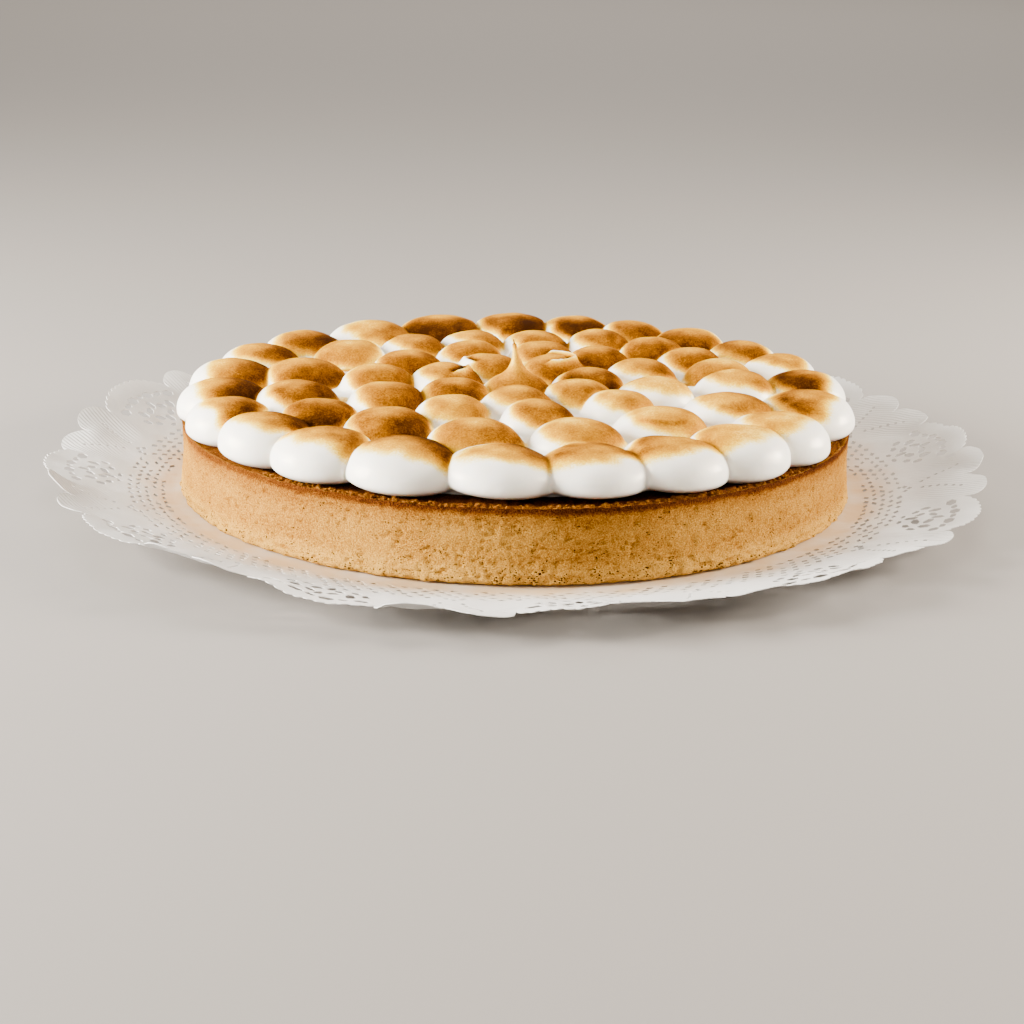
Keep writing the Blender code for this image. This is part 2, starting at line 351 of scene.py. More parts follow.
def embossed_paper():
    """Thin bleached paper, punched and pressed between rollers: matt, white, with fine ribs."""
    made, tree, surface = new_material("embossed_lace_paper")
    flat = put(tree, "ShaderNodeUVMap", uv_map="flat")
    out = put(tree, "ShaderNodeAttribute", attribute_name="out").outputs["Fac"]
    rib = put(tree, "ShaderNodeAttribute", attribute_name="rib").outputs["Fac"]
    # close to the shell the paper is darker and warmer, in patches of 14 mm: partly butter drawn into it,
    # partly painted shade and a painted warm bounce from the shell
    butter_and_shade = put(tree, "ShaderNodeTexNoise", {"Vector": flat, "Scale": 1.0 / 14.0, "Detail": 2.0})
    reach = put(tree, "ShaderNodeMath", (butter_and_shade, 0.6, out), operation="MULTIPLY_ADD")
    face = put(tree, "ShaderNodeValToRGB", {"Fac": reach}, stops=(
        (0.25, "#B89A72"), (0.55, "#C0B4A4"), (0.85, "#C9C6C1")))
    # pressed ribs 1.1 mm apart on the smooth lobes, pulp mottle of 3 mm all over
    lines = put(tree, "ShaderNodeTexWave", {
        "Vector": flat, "Scale": 0.314 / 1.1, "Distortion": 0.0}, bands_direction="DIAGONAL").outputs["Fac"]
    pressed = put(tree, "ShaderNodeMath", (lines, rib), operation="MULTIPLY")
    pulp = put(tree, "ShaderNodeTexNoise", {"Vector": flat, "Scale": 1.0 / 3.0, "Detail": 4.0})
    under = put(tree, "ShaderNodeBump", {"Height": pulp, "Strength": 0.35, "Distance": 0.4 * MM})
    over = put(tree, "ShaderNodeBump", {
        "Height": pressed, "Strength": 0.55, "Distance": 0.25 * MM, "Normal": under})
    give(tree, surface, {
        "Base Color": face, "Roughness": 0.68, "IOR": 1.5, "Specular IOR Level": 0.35, "Normal": over})
    return made


def floor_paint():
    """Matt painted board, pale and plain, with a faint roller texture of 4 mm."""
    made, tree, surface = new_material("matt_floor_paint")
    place = put(tree, "ShaderNodeTexCoord").outputs["Object"]
    roller = put(tree, "ShaderNodeTexNoise", {"Vector": place, "Scale": 1.0 / (4.0 * MM), "Detail": 2.0})
    bump = put(tree, "ShaderNodeBump", {"Height": roller, "Strength": 0.05, "Distance": 0.3 * MM})
    give(tree, surface, {"Base Color": colour("#857F79"), "Roughness": 0.7, "Normal": bump})
    return made


# ---------------------------------------------------------------- geometry nodes

def new_tree(name, inputs):
    """A geometry nodes tree with a shape in and out, a material and (name, kind) inputs of its own."""
    tree = bpy.data.node_groups.new(name, "GeometryNodeTree")
    for title, kind in (("Geometry", "Geometry"),) + inputs + (("Material", "Material"),):
        tree.interface.new_socket(title, in_out="INPUT", socket_type="NodeSocket" + kind)
    tree.interface.new_socket("Geometry", in_out="OUTPUT", socket_type="NodeSocketGeometry")
    return tree, put(tree, "NodeGroupInput").outputs


def end_tree(tree, given, shape):
    """Make a tree's copies real, give them its material and hand them out."""
    real = put(tree, "GeometryNodeRealizeInstances", (shape,))
    coated = put(tree, "GeometryNodeSetMaterial", {"Geometry": real, "Material": given["Material"]})
    put(tree, "NodeGroupOutput", (coated,))
    return tree


def grow(made, tree, values):
    """Run a tree on an object, each input set by its socket's identifier, and keep the plain mesh."""
    nodes = made.modifiers.new(tree.name, "NODES")
    nodes.node_group = tree
    for item in tree.interface.items_tree:
        if item.in_out == "INPUT" and item.name in values:
            nodes[item.identifier] = values[item.name]
    return bake(made)


def set_attribute(mesh, name, kind, values):
    """Store a value for each point: kind is FLOAT or FLOAT_VECTOR."""
    layer = mesh.attributes.new(name, kind, "POINT")
    field = "value" if kind == "FLOAT" else "vector"
    layer.data.foreach_set(field, np.asarray(values, dtype=float).ravel())


# ---------------------------------------------------------------- meringue

def dome(share):
    return DOME * (1.0 - min(1.0, share) ** 2)


def named_dollops():
    """Ring number and degrees of each dollop, in piping order after the middle one."""
    return [None] + [(ring, angle) for ring, (_, angles) in enumerate(RINGS) for angle in angles]


def piped_places():
    """Each dollop as (distance from the axis, angle, size, toast): it swells into the room it has."""
    places = [tuple(PEAK_PLACE)]
    for share, angles in RINGS:
        for turn in map(math.radians, angles):
            places.append((share * TART_RADIUS * math.cos(turn), share * TART_RADIUS * math.sin(turn)))
    hand = random.Random(8)
    piped = []
    for name, (x, y) in zip(named_dollops(), places):
        apart = sorted(math.dist((x, y), other) for other in places)
        size = min(max(sum(apart[1:5]) / 4.0 / SPACING, SIZE_RANGE[0]), SIZE_RANGE[1])
        out = math.hypot(x, y)
        if out > OUTER_FROM:
            out = OUTER_REACH - size * NOSE_LENGTH - FRONT.get(name, (0.0, 1.0))[0]
        toast = TOAST + hand.uniform(-TOAST_SPREAD, TOAST_SPREAD)
        toast += DARK_MORE * (name in DARK) - PALE_LESS * (name in PALE)
        piped.append((out, math.atan2(y, x), size, toast))
    return piped


def dollop_tree():
    """Nodes that set one egg-shaped dollop at each point, turned outwards and sized."""
    tree, given = new_tree("piped dollops", tuple((name, "Float") for name in (
        "Nose length", "Tail length", "Width", "Tail narrowing", "Rise", "Drop", "Undercut", "Fullness")))
    ball = put(tree, "GeometryNodeMeshUVSphere", {"Segments": 48, "Rings": 28, "Radius": 1.0})
    spot = put(tree, "GeometryNodeInputPosition")
    where = put(tree, "ShaderNodeSeparateXYZ", (spot,)).outputs
    # soft meringue sags fuller than an ellipsoid, over its flanks as well as its crown
    level = put(tree, "ShaderNodeVectorMath", (spot, (1.0, 1.0, 0.0)), operation="MULTIPLY")
    reach = put(tree, "ShaderNodeVectorMath", (level,), operation="LENGTH").outputs["Value"]
    off_axis = put(tree, "ShaderNodeMath", (reach, 0.0001), operation="MAXIMUM")
    swell = put(tree, "ShaderNodeMath", (given["Fullness"], 1.0), operation="SUBTRACT")
    fuller = put(tree, "ShaderNodeMath", (off_axis, swell), operation="POWER")
    ahead = put(tree, "ShaderNodeMath", (where["X"], fuller), operation="MULTIPLY")
    beside = put(tree, "ShaderNodeMath", (where["Y"], fuller), operation="MULTIPLY")
    side = put(tree, "ShaderNodeMath", (where["Z"],), operation="SIGN")
    tall = put(tree, "ShaderNodeMath", (where["Z"],), operation="ABSOLUTE")
    full = put(tree, "ShaderNodeMath", (tall, given["Fullness"]), operation="POWER")
    over = put(tree, "ShaderNodeMath", (side, full), operation="MULTIPLY")
    # nose and tail have their own lengths, crown and foot their own heights
    behind = put(tree, "FunctionNodeCompare", (ahead, 0.0), data_type="FLOAT", operation="LESS_THAN")
    length = put(tree, "GeometryNodeSwitch", {
        "Switch": behind, "False": given["Nose length"], "True": given["Tail length"]}, input_type="FLOAT")
    below = put(tree, "FunctionNodeCompare", (over, 0.0), data_type="FLOAT", operation="LESS_THAN")
    height = put(tree, "GeometryNodeSwitch", {
        "Switch": below, "False": given["Rise"], "True": given["Drop"]}, input_type="FLOAT")
    tail = put(tree, "ShaderNodeMath", (ahead, 0.0), operation="MINIMUM")
    narrow = put(tree, "ShaderNodeMath", (tail, given["Tail narrowing"], 1.0), operation="MULTIPLY_ADD")
    half = put(tree, "ShaderNodeMath", (given["Width"], 0.5), operation="MULTIPLY")
    wide = put(tree, "ShaderNodeMath", (half, narrow), operation="MULTIPLY")
    # the nose hangs out over its foot
    deep = put(tree, "ShaderNodeMath", (over, over), operation="MULTIPLY")
    sunk = put(tree, "ShaderNodeMath", (deep, below), operation="MULTIPLY")
    under = put(tree, "ShaderNodeMath", (sunk, given["Undercut"]), operation="MULTIPLY")
    front = put(tree, "ShaderNodeMath", (ahead, length), operation="MULTIPLY")
    place = put(tree, "ShaderNodeCombineXYZ", (
        put(tree, "ShaderNodeMath", (front, under), operation="SUBTRACT"),
        put(tree, "ShaderNodeMath", (beside, wide), operation="MULTIPLY"),
        put(tree, "ShaderNodeMath", (over, height), operation="MULTIPLY")))
    egg = put(tree, "GeometryNodeSetPosition", {"Geometry": ball, "Position": place})
    turn = put(tree, "GeometryNodeInputNamedAttribute", {"Name": "turn"}, data_type="FLOAT_VECTOR")
    size = put(tree, "GeometryNodeInputNamedAttribute", {"Name": "size"}, data_type="FLOAT_VECTOR")
    piped = put(tree, "GeometryNodeInstanceOnPoints", {
        "Points": given["Geometry"], "Instance": egg, "Rotation": turn, "Scale": size})
    return end_tree(tree, given, piped)


def piped_dollops(piped, material):
    mesh = bpy.data.meshes.new("piped_meringue")
    low = RIM_TOP + MIDDLE_HEIGHT
    hand = random.Random(21)
    places = []
    turns = []
    sizes = []
    for name, (out, angle, size, _) in zip(named_dollops(), piped):
        tall = FRONT.get(name, (0.0, 1.0))[1]
        places.append((out * math.cos(angle), out * math.sin(angle), low + dome(out / TART_RADIUS)))
        turns.append((
            hand.uniform(-0.06, 0.06), hand.uniform(-0.05, 0.05), angle + hand.uniform(-0.18, 0.18)))
        wide = OUTER_WIDENING if out > OUTER_FROM else 1.0
        sizes.append((size, size * wide, tall * hand.uniform(0.97, 1.04)))
    mesh.from_pydata(places, [], [])
    set_attribute(mesh, "turn", "FLOAT_VECTOR", turns)
    set_attribute(mesh, "size", "FLOAT_VECTOR", sizes)
    return grow(new_piece("piped_meringue", mesh), dollop_tree(), {
        "Nose length": NOSE_LENGTH, "Tail length": TAIL_LENGTH, "Width": DOLLOP_WIDTH,
        "Tail narrowing": TAIL_NARROWING, "Rise": DOLLOP_RISE, "Drop": DOLLOP_DROP,
        "Undercut": UNDERCUT, "Fullness": FULLNESS, "Material": material})


def add_lathe(shape, outline, sides, middle=(0.0, 0.0)):
    """Closed turned body: (radius, height) points, the first and last on its axis."""
    rings = []
    for radius, height in outline[1:-1]:
        ring = []
        for k in range(sides):
            turn = math.tau * k / sides
            ring.append(shape.verts.new((
                middle[0] + radius * math.cos(turn), middle[1] + radius * math.sin(turn), height)))
        rings.append(ring)
    low = shape.verts.new((middle[0], middle[1], outline[0][1]))
    high = shape.verts.new((middle[0], middle[1], outline[-1][1]))
    for k in range(sides):
        following = (k + 1) % sides
        shape.faces.new((low, rings[0][following], rings[0][k]))
        shape.faces.new((high, rings[-1][k], rings[-1][following]))
        for inner, outer in zip(rings, rings[1:]):
            shape.faces.new((inner[k], inner[following], outer[following], outer[k]))


def peak_outline():
    """The middle dollop's pulled tip: a wide foot that sweeps up to a thin point."""
    foot = RIM_TOP + CROWN_HEIGHT + DOME
    outline = [(0.0, foot - 6.0 * MM), (PEAK_FOOT + 2.0 * MM, foot - 5.0 * MM)]
    steps = 18
    for k in range(steps + 1):
        up = k / steps
        radius = PEAK_FOOT * (1.0 - up) ** 5.0 + 1.9 * MM * (1.0 - up) ** 0.8 + 0.45 * MM
        outline.append((radius, foot - 2.0 * MM + (PEAK_HEIGHT + 2.0 * MM) * up))
    outline.append((0.0, foot + PEAK_HEIGHT + 0.4 * MM))
    return outline


def owners(points, piped, rank=0):
    """Each point's dollop, and where it lies in it: along to the nose, across, and up to the crown."""
    out, angle, size, _ = (np.array(v) for v in zip(*piped))
    low = RIM_TOP + MIDDLE_HEIGHT + np.array([dome(o / TART_RADIUS) for o in out])
    dx = points[:, 0:1] - out * np.cos(angle)
    dy = points[:, 1:2] - out * np.sin(angle)
    along = dx * np.cos(angle) + dy * np.sin(angle)
    across = -dx * np.sin(angle) + dy * np.cos(angle)
    along = along / (size * np.where(along > 0.0, NOSE_LENGTH, TAIL_LENGTH))
    narrow = 1.0 + TAIL_NARROWING * np.minimum(along, 0.0)
    wide = size * 0.5 * DOLLOP_WIDTH * np.where(out > OUTER_FROM, OUTER_WIDENING, 1.0)
    across = across / (wide * np.maximum(narrow, 0.3))
    up = (points[:, 2:3] - low) / DOLLOP_RISE
    away = np.hypot(along, across) ** (2.0 / FULLNESS) + np.abs(up) ** (2.0 / FULLNESS)
    best = np.argpartition(away, rank, axis=1)[:, rank]
    rows = np.arange(len(points))
    return best, along[rows, best], across[rows, best], up[rows, best], away[rows, best]


def press_lips(points, piped, best):
    """Folds the nozzle left: a lip stands up with a groove inside it, a ledge drops away outwards; returns
    their painted shade: browner in grooves and along ledge edges, paler on lips.
    """
    names = named_dollops()
    fold_shade_marks = np.zeros(len(points))
    for fold in LIPS + LEDGES:
        name, share, start, end, lift = fold
        k = names.index(name)
        out, angle, size, _ = piped[k]
        dx = points[:, 0] - out * math.cos(angle)
        dy = points[:, 1] - out * math.sin(angle)
        reach = np.hypot(dx, dy) / (size * 0.5 * DOLLOP_WIDTH)
        turn = (np.degrees(np.arctan2(dy, dx)) - start) % 360.0
        span = end - start
        window = smoothstep(0.0, 25.0, turn) * (1.0 - smoothstep(span - 25.0, span, turn)) * (turn < span)
        window = window * (best == k)
        ridge = np.exp(-((reach - share) / 0.075) ** 2)
        groove = np.exp(-((reach - share + 0.17) / 0.075) ** 2)
        if fold in LEDGES:
            edge = np.exp(-((reach - share - 0.02) / 0.035) ** 2)
            points[:, 2] -= window * lift * smoothstep(share - 0.02, share + 0.06, reach)
            # painted shadow: a dark line along the ledge's edge
            fold_shade_marks += window * 0.40 * edge
        else:
            points[:, 2] += window * lift * (ridge - 0.7 * groove)
            # painted shade in the groove; the lip's top is made paler
            fold_shade_marks += window * (groove - 1.2 * ridge)
    return fold_shade_marks


def toast_field(points, piped, best, along, across, up):
    """How far the flame browned each point: crowns and tails most, noses and seams hardly; painted shade is
    added on the sides turned from the left window.
    """
    out, angle, _, strength = (np.array(v) for v in zip(*piped))
    outer = out[best] > OUTER_FROM
    hand = np.random.default_rng(4)
    # most crowns are browner towards the right and the front: partly where the torch swept from the left,
    # partly painted shade on the sides turned from the left window
    flame = hand.normal(-0.45, 0.7, len(piped))[best]
    depth = hand.uniform(-0.10, 0.10, len(piped))[best]
    turn = angle[best]
    ahead = along * np.cos(turn) - across * np.sin(turn)
    aside = along * np.sin(turn) + across * np.cos(turn)
    toast_and_shade_lean = ahead * np.cos(flame) + aside * np.sin(flame)
    broad = noise_at(points, 8.0 * MM, 3.0)
    patch = noise_at(points, 3.2 * MM, 5.0)
    height = smoothstep(0.44 + depth, 0.82 + depth, up + 0.33 * toast_and_shade_lean + 0.10 * broad + 0.04 * patch)
    nose = smoothstep(0.16, 0.72, along + 0.20 * np.abs(across) + 0.14 * broad)
    inner = 0.25 * smoothstep(0.3, 0.9, along)
    fade = np.where(outer, 1.0 - nose, 1.0 - inner)
    # the flame caught the shoulders of each mound harder than the flat of its crown
    reach = np.hypot(along, across)
    shoulder = smoothstep(0.15, 0.62, reach) * (1.0 - smoothstep(0.95, 1.1, reach))
    # and the backs of the outer noses, which faced it
    back = np.where(outer, 1.0 - smoothstep(-0.45, 0.25, along), 0.0)
    caught = 0.58 + 0.40 * toast_and_shade_lean + 0.40 * shoulder + 0.34 * back + 0.18 * broad + 0.08 * patch
    return np.clip(strength[best] * height * caught * fade, 0.0, 1.0)


def make_meringue():
    material = toasted_meringue()
    piped = piped_places()
    made = piped_dollops(piped, material)
    shape = bmesh.new()
    shape.from_mesh(made.data)
    bottom = FILLING_TOP - 3.0 * MM
    layer = [(0.0, bottom), (LAYER_RADIUS, bottom), (LAYER_RADIUS, RIM_TOP - 0.8 * MM)]
    for share in (0.96, 0.9, 0.8, 0.65, 0.5, 0.3, 0.15):
        sunk = LAYER_EDGE_DROP if share > 0.95 else 0.0
        layer.append((share * LAYER_RADIUS, RIM_TOP + LAYER_HEIGHT - sunk + dome(share)))
    layer.append((0.0, RIM_TOP + LAYER_HEIGHT + DOME))
    add_lathe(shape, layer, 96)
    add_lathe(shape, peak_outline(), 32, PEAK_PLACE)
    shape.to_mesh(made.data)
    shape.free()
    merge = made.modifiers.new("merge", "REMESH")
    merge.mode = "VOXEL"
    merge.voxel_size = MERINGUE_GRAIN
    soften = made.modifiers.new("soften", "SMOOTH")
    soften.factor = 0.5
    soften.iterations = 2
    mesh = bake(made).data
    points = points_of(mesh)
    best, *_ = owners(points, piped)
    fold_shade = press_lips(points, piped, best)
    away = np.hypot(points[:, 0], points[:, 1])
    # a light uneven skin, so that no two dollops are alike
    skin = SKIN_UNEVENNESS * noise_at(points, 7.0 * MM, 2.0)
    points[:, 2] += np.where(points[:, 2] > RIM_TOP + LAYER_HEIGHT, skin, 0.0)
    # its underside keeps just above the filling, the rim and the ridge
    seat = np.where(away > RIM_INNER - 0.5 * MM, RIM_TOP - 0.3 * MM, FILLING_TOP + 0.3 * MM)
    seat = np.where(away > TART_RADIUS - 2.0 * RIDGE_WIDTH, RIM_TOP + 0.1 * MM, seat)
    points[:, 2] = np.maximum(points[:, 2], seat)
    move_points(mesh, points)
    *nearest, near = owners(points, piped, 0)
    *second, next_near = owners(points, piped, 1)
    # a crease where each stroke was pressed against the next
    crease = 1.0 - smoothstep(0.0, 0.20, next_near - near)
    crease = crease * smoothstep(0.5 * MM, 2.5 * MM, points[:, 2] - RIM_TOP)
    inwards = 1.0 - CREASE_SET_BACK * crease * (away > OUTER_FROM) / np.maximum(away, MM)
    points[:, :2] *= inwards[:, None]
    points[:, 2] -= CREASE_DEPTH * crease
    share = 0.5 + 0.5 * smoothstep(0.0, 0.22, next_near - near)
    toast = share * toast_field(points, piped, *nearest)
    toast += (1.0 - share) * toast_field(points, piped, *second)
    # the pulled tip: brown round its foot, cream up its middle, caught again at the very top
    reach = np.hypot(points[:, 0] - PEAK_PLACE.x, points[:, 1] - PEAK_PLACE.y)
    lift = points[:, 2] - RIM_TOP - CROWN_HEIGHT - DOME
    spire = (reach < 9.0 * MM) * smoothstep(1.0 * MM, 5.0 * MM, lift)
    # the tip is browner on its right side, turned from the left window: partly painted shade
    beside = (points[:, 0] - PEAK_PLACE.x) / (1.5 * MM)
    toast = toast * (1.0 - spire) + spire * (
        0.20 + 0.45 * smoothstep(9.0 * MM, 12.5 * MM, lift) + 0.12 * np.clip(beside, -0.5, 1.5))
    bend = 1.4 * MM * np.clip(lift / PEAK_HEIGHT, 0.0, 1.2) ** 2
    points[:, 0] -= np.where(reach < 6.0 * MM, bend, 0.0)
    move_points(mesh, points)
    # painted shade of the folds: grooves and ledge edges browned darker, lip tops paler
    toast = np.clip(toast + 0.5 * fold_shade * (toast > 0.05), 0.0, 1.0)
    set_attribute(mesh, "toast", "FLOAT", toast)
    thin = made.modifiers.new("thin", "DECIMATE")
    thin.ratio = min(1.0, MERINGUE_FACES / (2.0 * len(mesh.polygons)))
    coat(bake(made).data, material)
    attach(made, "root")
    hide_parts("meringue")


# ---------------------------------------------------------------- shell

def shell_outline():
    """(radius, height, kind) round the shell's section: foot, wall, ridge, rim, filling."""
    outline = []
    for k in range(1, 9):
        outline.append((0.97 * BASE_RADIUS * k / 8, SHELL_FLOOR, "foot"))
    for k in range(5):
        turn = math.radians(90.0 * k / 4)
        outline.append((
            BASE_RADIUS - BASE_ROUND * (1.0 - math.sin(turn)),
            SHELL_FLOOR + BASE_ROUND * (1.0 - math.cos(turn)), "wall"))
    steps = 46
    for k in range(1, steps + 1):
        up = k / steps
        radius = BASE_RADIUS + (TART_RADIUS - BASE_RADIUS) * up - WAIST * math.sin(math.pi * up)
        height = SHELL_FLOOR + BASE_ROUND + (RIM_TOP - SHELL_FLOOR - BASE_ROUND) * up
        outline.append((radius, height, "wall"))
    rim_outer = TART_RADIUS - 1.6 * RIDGE_WIDTH
    outline.append((TART_RADIUS - 0.5 * RIDGE_WIDTH, RIM_TOP, "ridge"))
    outline.append((TART_RADIUS - RIDGE_WIDTH, RIM_TOP - 0.2 * MM, "ridge"))
    for k in range(8):
        outline.append((rim_outer + (RIM_INNER - rim_outer) * k / 7, RIM_TOP - RIDGE_HEIGHT, "rim"))
    outline.append((RIM_INNER - 0.6 * MM, FILLING_TOP, "filling"))
    outline.append((0.5 * RIM_INNER, FILLING_TOP, "filling"))
    return outline


def pit_wall(radius, height, wall):
    """Sink pits and short cracks into the wall: crowded near the foot, scattered above it."""
    rows, columns = radius.shape
    across = math.tau * TART_RADIUS / columns
    hand = np.random.default_rng(12)
    hollow = np.zeros_like(radius)
    first, last = np.nonzero(wall[:, 0])[0][[0, -1]]
    column = np.arange(columns)
    for number in range(PIT_COUNT):
        crack = number % 9 == 0
        up = SHELL_FLOOR + PIT_REACH * hand.beta(1.0, 1.9 if number % 3 else 1.1)
        middle = hand.uniform(0, columns)
        wide = (hand.uniform(0.9, 1.9) if crack else hand.uniform(0.35, 0.85)) * MM
        tall = (0.30 if crack else hand.uniform(0.30, 0.55)) * MM
        deep = hand.uniform(0.25, 0.75) * MM
        slope = hand.uniform(-0.35, 0.35)
        dx = ((column - middle + columns / 2) % columns - columns / 2) * across
        near = np.abs(dx) < 2.5 * wide
        dz = height[first:last + 1, near] - up - slope * dx[near]
        shape = np.exp(-(dx[near] / wide) ** 2 - (dz / tall) ** 2)
        hollow[first:last + 1, near] = np.maximum(hollow[first:last + 1, near], shape * deep / PIT_DEPTH)
    return radius - PIT_DEPTH * hollow * wall, hollow


def crumb_tree():
    """Nodes that strew baked crumbs over a surface: their size, how many and the seed are inputs."""
    tree, given = new_tree("strewn crumbs", (
        ("Per square metre", "Float"), ("Smallest", "Float"), ("Largest", "Float"), ("Seed", "Int")))
    crumb = put(tree, "GeometryNodeMeshIcoSphere", {"Radius": 1.0, "Subdivisions": 2})
    uneven = put(tree, "ShaderNodeTexNoise", {"Scale": 1.3}).outputs["Color"]
    dents = put(tree, "ShaderNodeVectorMath", (uneven, (-0.5, -0.5, -0.5)), operation="ADD")
    knobbly = put(tree, "GeometryNodeSetPosition", {"Geometry": crumb, "Offset": dents})
    spots = put(tree, "GeometryNodeDistributePointsOnFaces", {
        "Mesh": given["Geometry"], "Density": given["Per square metre"], "Seed": given["Seed"]})
    size = put(tree, "FunctionNodeRandomValue", {
        2: given["Smallest"], 3: given["Largest"], "Seed": given["Seed"]}, data_type="FLOAT").outputs[1]
    turn = put(tree, "FunctionNodeRandomValue", {
        0: (0.0, 0.0, 0.0), 1: (math.tau, math.tau, math.tau), "Seed": given["Seed"]},
        data_type="FLOAT_VECTOR")
    strewn = put(tree, "GeometryNodeInstanceOnPoints", {
        "Points": spots, "Instance": knobbly, "Rotation": turn, "Scale": size})
    return end_tree(tree, given, strewn)


def make_crumbs(material):
    """Broken bits along the rim, thickest at the front right where the edge tore."""
    mesh = bpy.data.meshes.new("rim_crumbs")
    shape = bmesh.new()
    steps = 40
    for low, high, inner in CRUMB_BANDS:
        rings = [[shape.verts.new((
            radius * math.cos(t), radius * math.sin(t), RIM_TOP - RIDGE_HEIGHT + 0.15 * MM))
            for t in (math.radians(low + (high - low) * k / steps) for k in range(steps + 1))]
            for radius in (inner, CRUMB_OUTER)]
        for k in range(steps):
            shape.faces.new((rings[0][k], rings[1][k], rings[1][k + 1], rings[0][k + 1]))
    shape.to_mesh(mesh)
    shape.free()
    made = grow(new_piece("rim_crumbs", mesh), crumb_tree(), {
        "Per square metre": CRUMBS_PER_M2, "Smallest": CRUMB_SIZES[0], "Largest": CRUMB_SIZES[1],
        "Seed": 5, "Material": material})
    set_attribute(made.data, "bake", "FLOAT", np.full(len(made.data.vertices), CRUMB_BAKE))
    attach(made, "root")


def turned(radius, turn, height):
    """Points at a radius, a turn and a height, in rows of (x, y, z)."""
    return np.stack([radius * np.cos(turn), radius * np.sin(turn), height], -1).reshape(-1, 3)


def make_shell():
    columns = WALL_COLUMNS
    outline = shell_outline()
    rows = len(outline)
    turn = np.linspace(0.0, math.tau, columns, endpoint=False)
    radius, height, kind = (np.array(values) for values in zip(*outline))
    radius = radius[:, None] + np.zeros(columns)
    height = height[:, None] + np.zeros(columns)
    wall = (kind == "wall")[:, None]
    ridge = (kind == "ridge")[:, None]
    rim = (kind == "rim")[:, None]
    flat = turned(radius, turn, height)
    rough = noise_at(flat, 3.0 * MM, 1.0).reshape(rows, columns)
    fine = noise_at(flat, 1.3 * MM, 7.0).reshape(rows, columns)
    broad = noise_at(flat, 22.0 * MM, 4.0).reshape(rows, columns)
    up = (height - SHELL_FLOOR) / (RIM_TOP - SHELL_FLOOR)
    # the foot spread a little under the ring and tore along one line
    low = np.exp(-((height - SHELL_FLOOR - 3.2 * MM + 0.8 * MM * broad) / (0.7 * MM)) ** 2)
    torn = np.clip(rough + 0.25, 0.0, 1.0) * low
    radius = radius + wall * (0.16 * MM * rough + 0.12 * MM * fine + 0.35 * MM * broad - 0.7 * MM * torn)
    bulge = np.clip(rough + 0.6 * fine, -0.2, 1.0) * (1.0 - smoothstep(0.03, 0.13, up))
    radius = radius + wall * 0.9 * MM * bulge
    radius, hollow = pit_wall(radius, height, wall)
    # the ridge is ragged all round and chipped, and the rim tore at the front right
    edge = turned(TART_RADIUS, turn, 0.0 * turn)
    ragged = noise_at(edge, 2.4 * MM, 5.0)
    chips = np.clip(noise_at(edge, 5.0 * MM, 9.0) - 0.25, 0.0, 1.0)
    right = smoothstep(-0.1, 0.5, np.cos(turn - math.radians(325.0)))
    height = height + ridge * (-0.25 * MM - 0.38 * MM * ragged - (0.8 + 1.6 * right) * MM * chips)
    height = height + rim * ((0.42 + 0.50 * right) * MM * (rough + fine) - 0.9 * right * MM * chips)
    top_row = np.nonzero(kind == "wall")[0][-1]
    height[top_row] = np.minimum(height[top_row], height[top_row + 1] + 0.1 * MM)
    points = np.vstack([turned(radius, turn, height), [(0.0, 0.0, SHELL_FLOOR), (0.0, 0.0, FILLING_TOP)]])
    low_pole = rows * columns
    k = np.arange(columns)
    following = (k + 1) % columns
    faces = []
    for row in range(rows - 1):
        faces += np.stack([row * columns + k, row * columns + following,
                           (row + 1) * columns + following, (row + 1) * columns + k], -1).tolist()
    faces += np.stack([np.full(columns, low_pole), following, k], -1).tolist()
    last = (rows - 1) * columns
    faces += np.stack([np.full(columns, low_pole + 1), last + k, last + following], -1).tolist()
    mesh = bpy.data.meshes.new("shortcrust_shell")
    mesh.from_pydata(points.tolist(), [], faces)
    # browner where the oven reached: up the wall, along the ridge and over the rim; painted light and shade
    # are mixed into these values too
    # painted light: the dark band under the ridge is made paler on the left, the side the window light
    # falls on
    left = smoothstep(0.2, 0.9, -np.cos(turn))
    bake_and_shade = 0.30 + 0.16 * smoothstep(0.62, 0.92, up) + (0.42 - 0.16 * left) * smoothstep(
        0.87, 0.96, up + 0.012 * broad + 0.02 * rough)
    bake_and_shade = bake_and_shade - 0.20 * (1.0 - smoothstep(0.10, 0.34, up)) + 0.06 * broad
    bake_and_shade = np.where(rim | ridge, 0.70 + 0.20 * rough, bake_and_shade)
    # painted highlight: the ridge is made paler than the rim, as a line of light along its top
    bake_and_shade = np.where(ridge, bake_and_shade - 0.24, bake_and_shade)
    # painted shade: the pits and the tear at the foot are made browner, most where they are deepest
    bake_and_shade = bake_and_shade + 0.25 * torn + 0.22 * hollow
    set_attribute(mesh, "bake", "FLOAT", np.append(bake_and_shade.ravel(), (0.3, 0.5)))
    material = baked_shortcrust()
    coat(mesh, material)
    made = new_piece("shortcrust_shell", mesh)
    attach(made, "root")
    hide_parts("crust")
    make_crumbs(material)


# ---------------------------------------------------------------- lace paper

def paper_edge(share):
    """Outline of one repeat, share 0 to 1 across it: a scalloped lace arc, then two smooth lobes."""
    for number, width in enumerate(LOBES):
        if share < width or number == len(LOBES) - 1:
            break
        share -= width
    within = min(1.0, max(0.0, share / width))
    bulge = math.sin(math.pi * within) ** 0.5
    scallop = 0.0
    if number == 0:
        scallop = SCALLOP_DEPTH * (1.0 - abs(math.sin(math.pi * SCALLOPS * within)))
    return PAPER_RADIUS - LOBE_DEPTH * (1.0 - bulge) - scallop


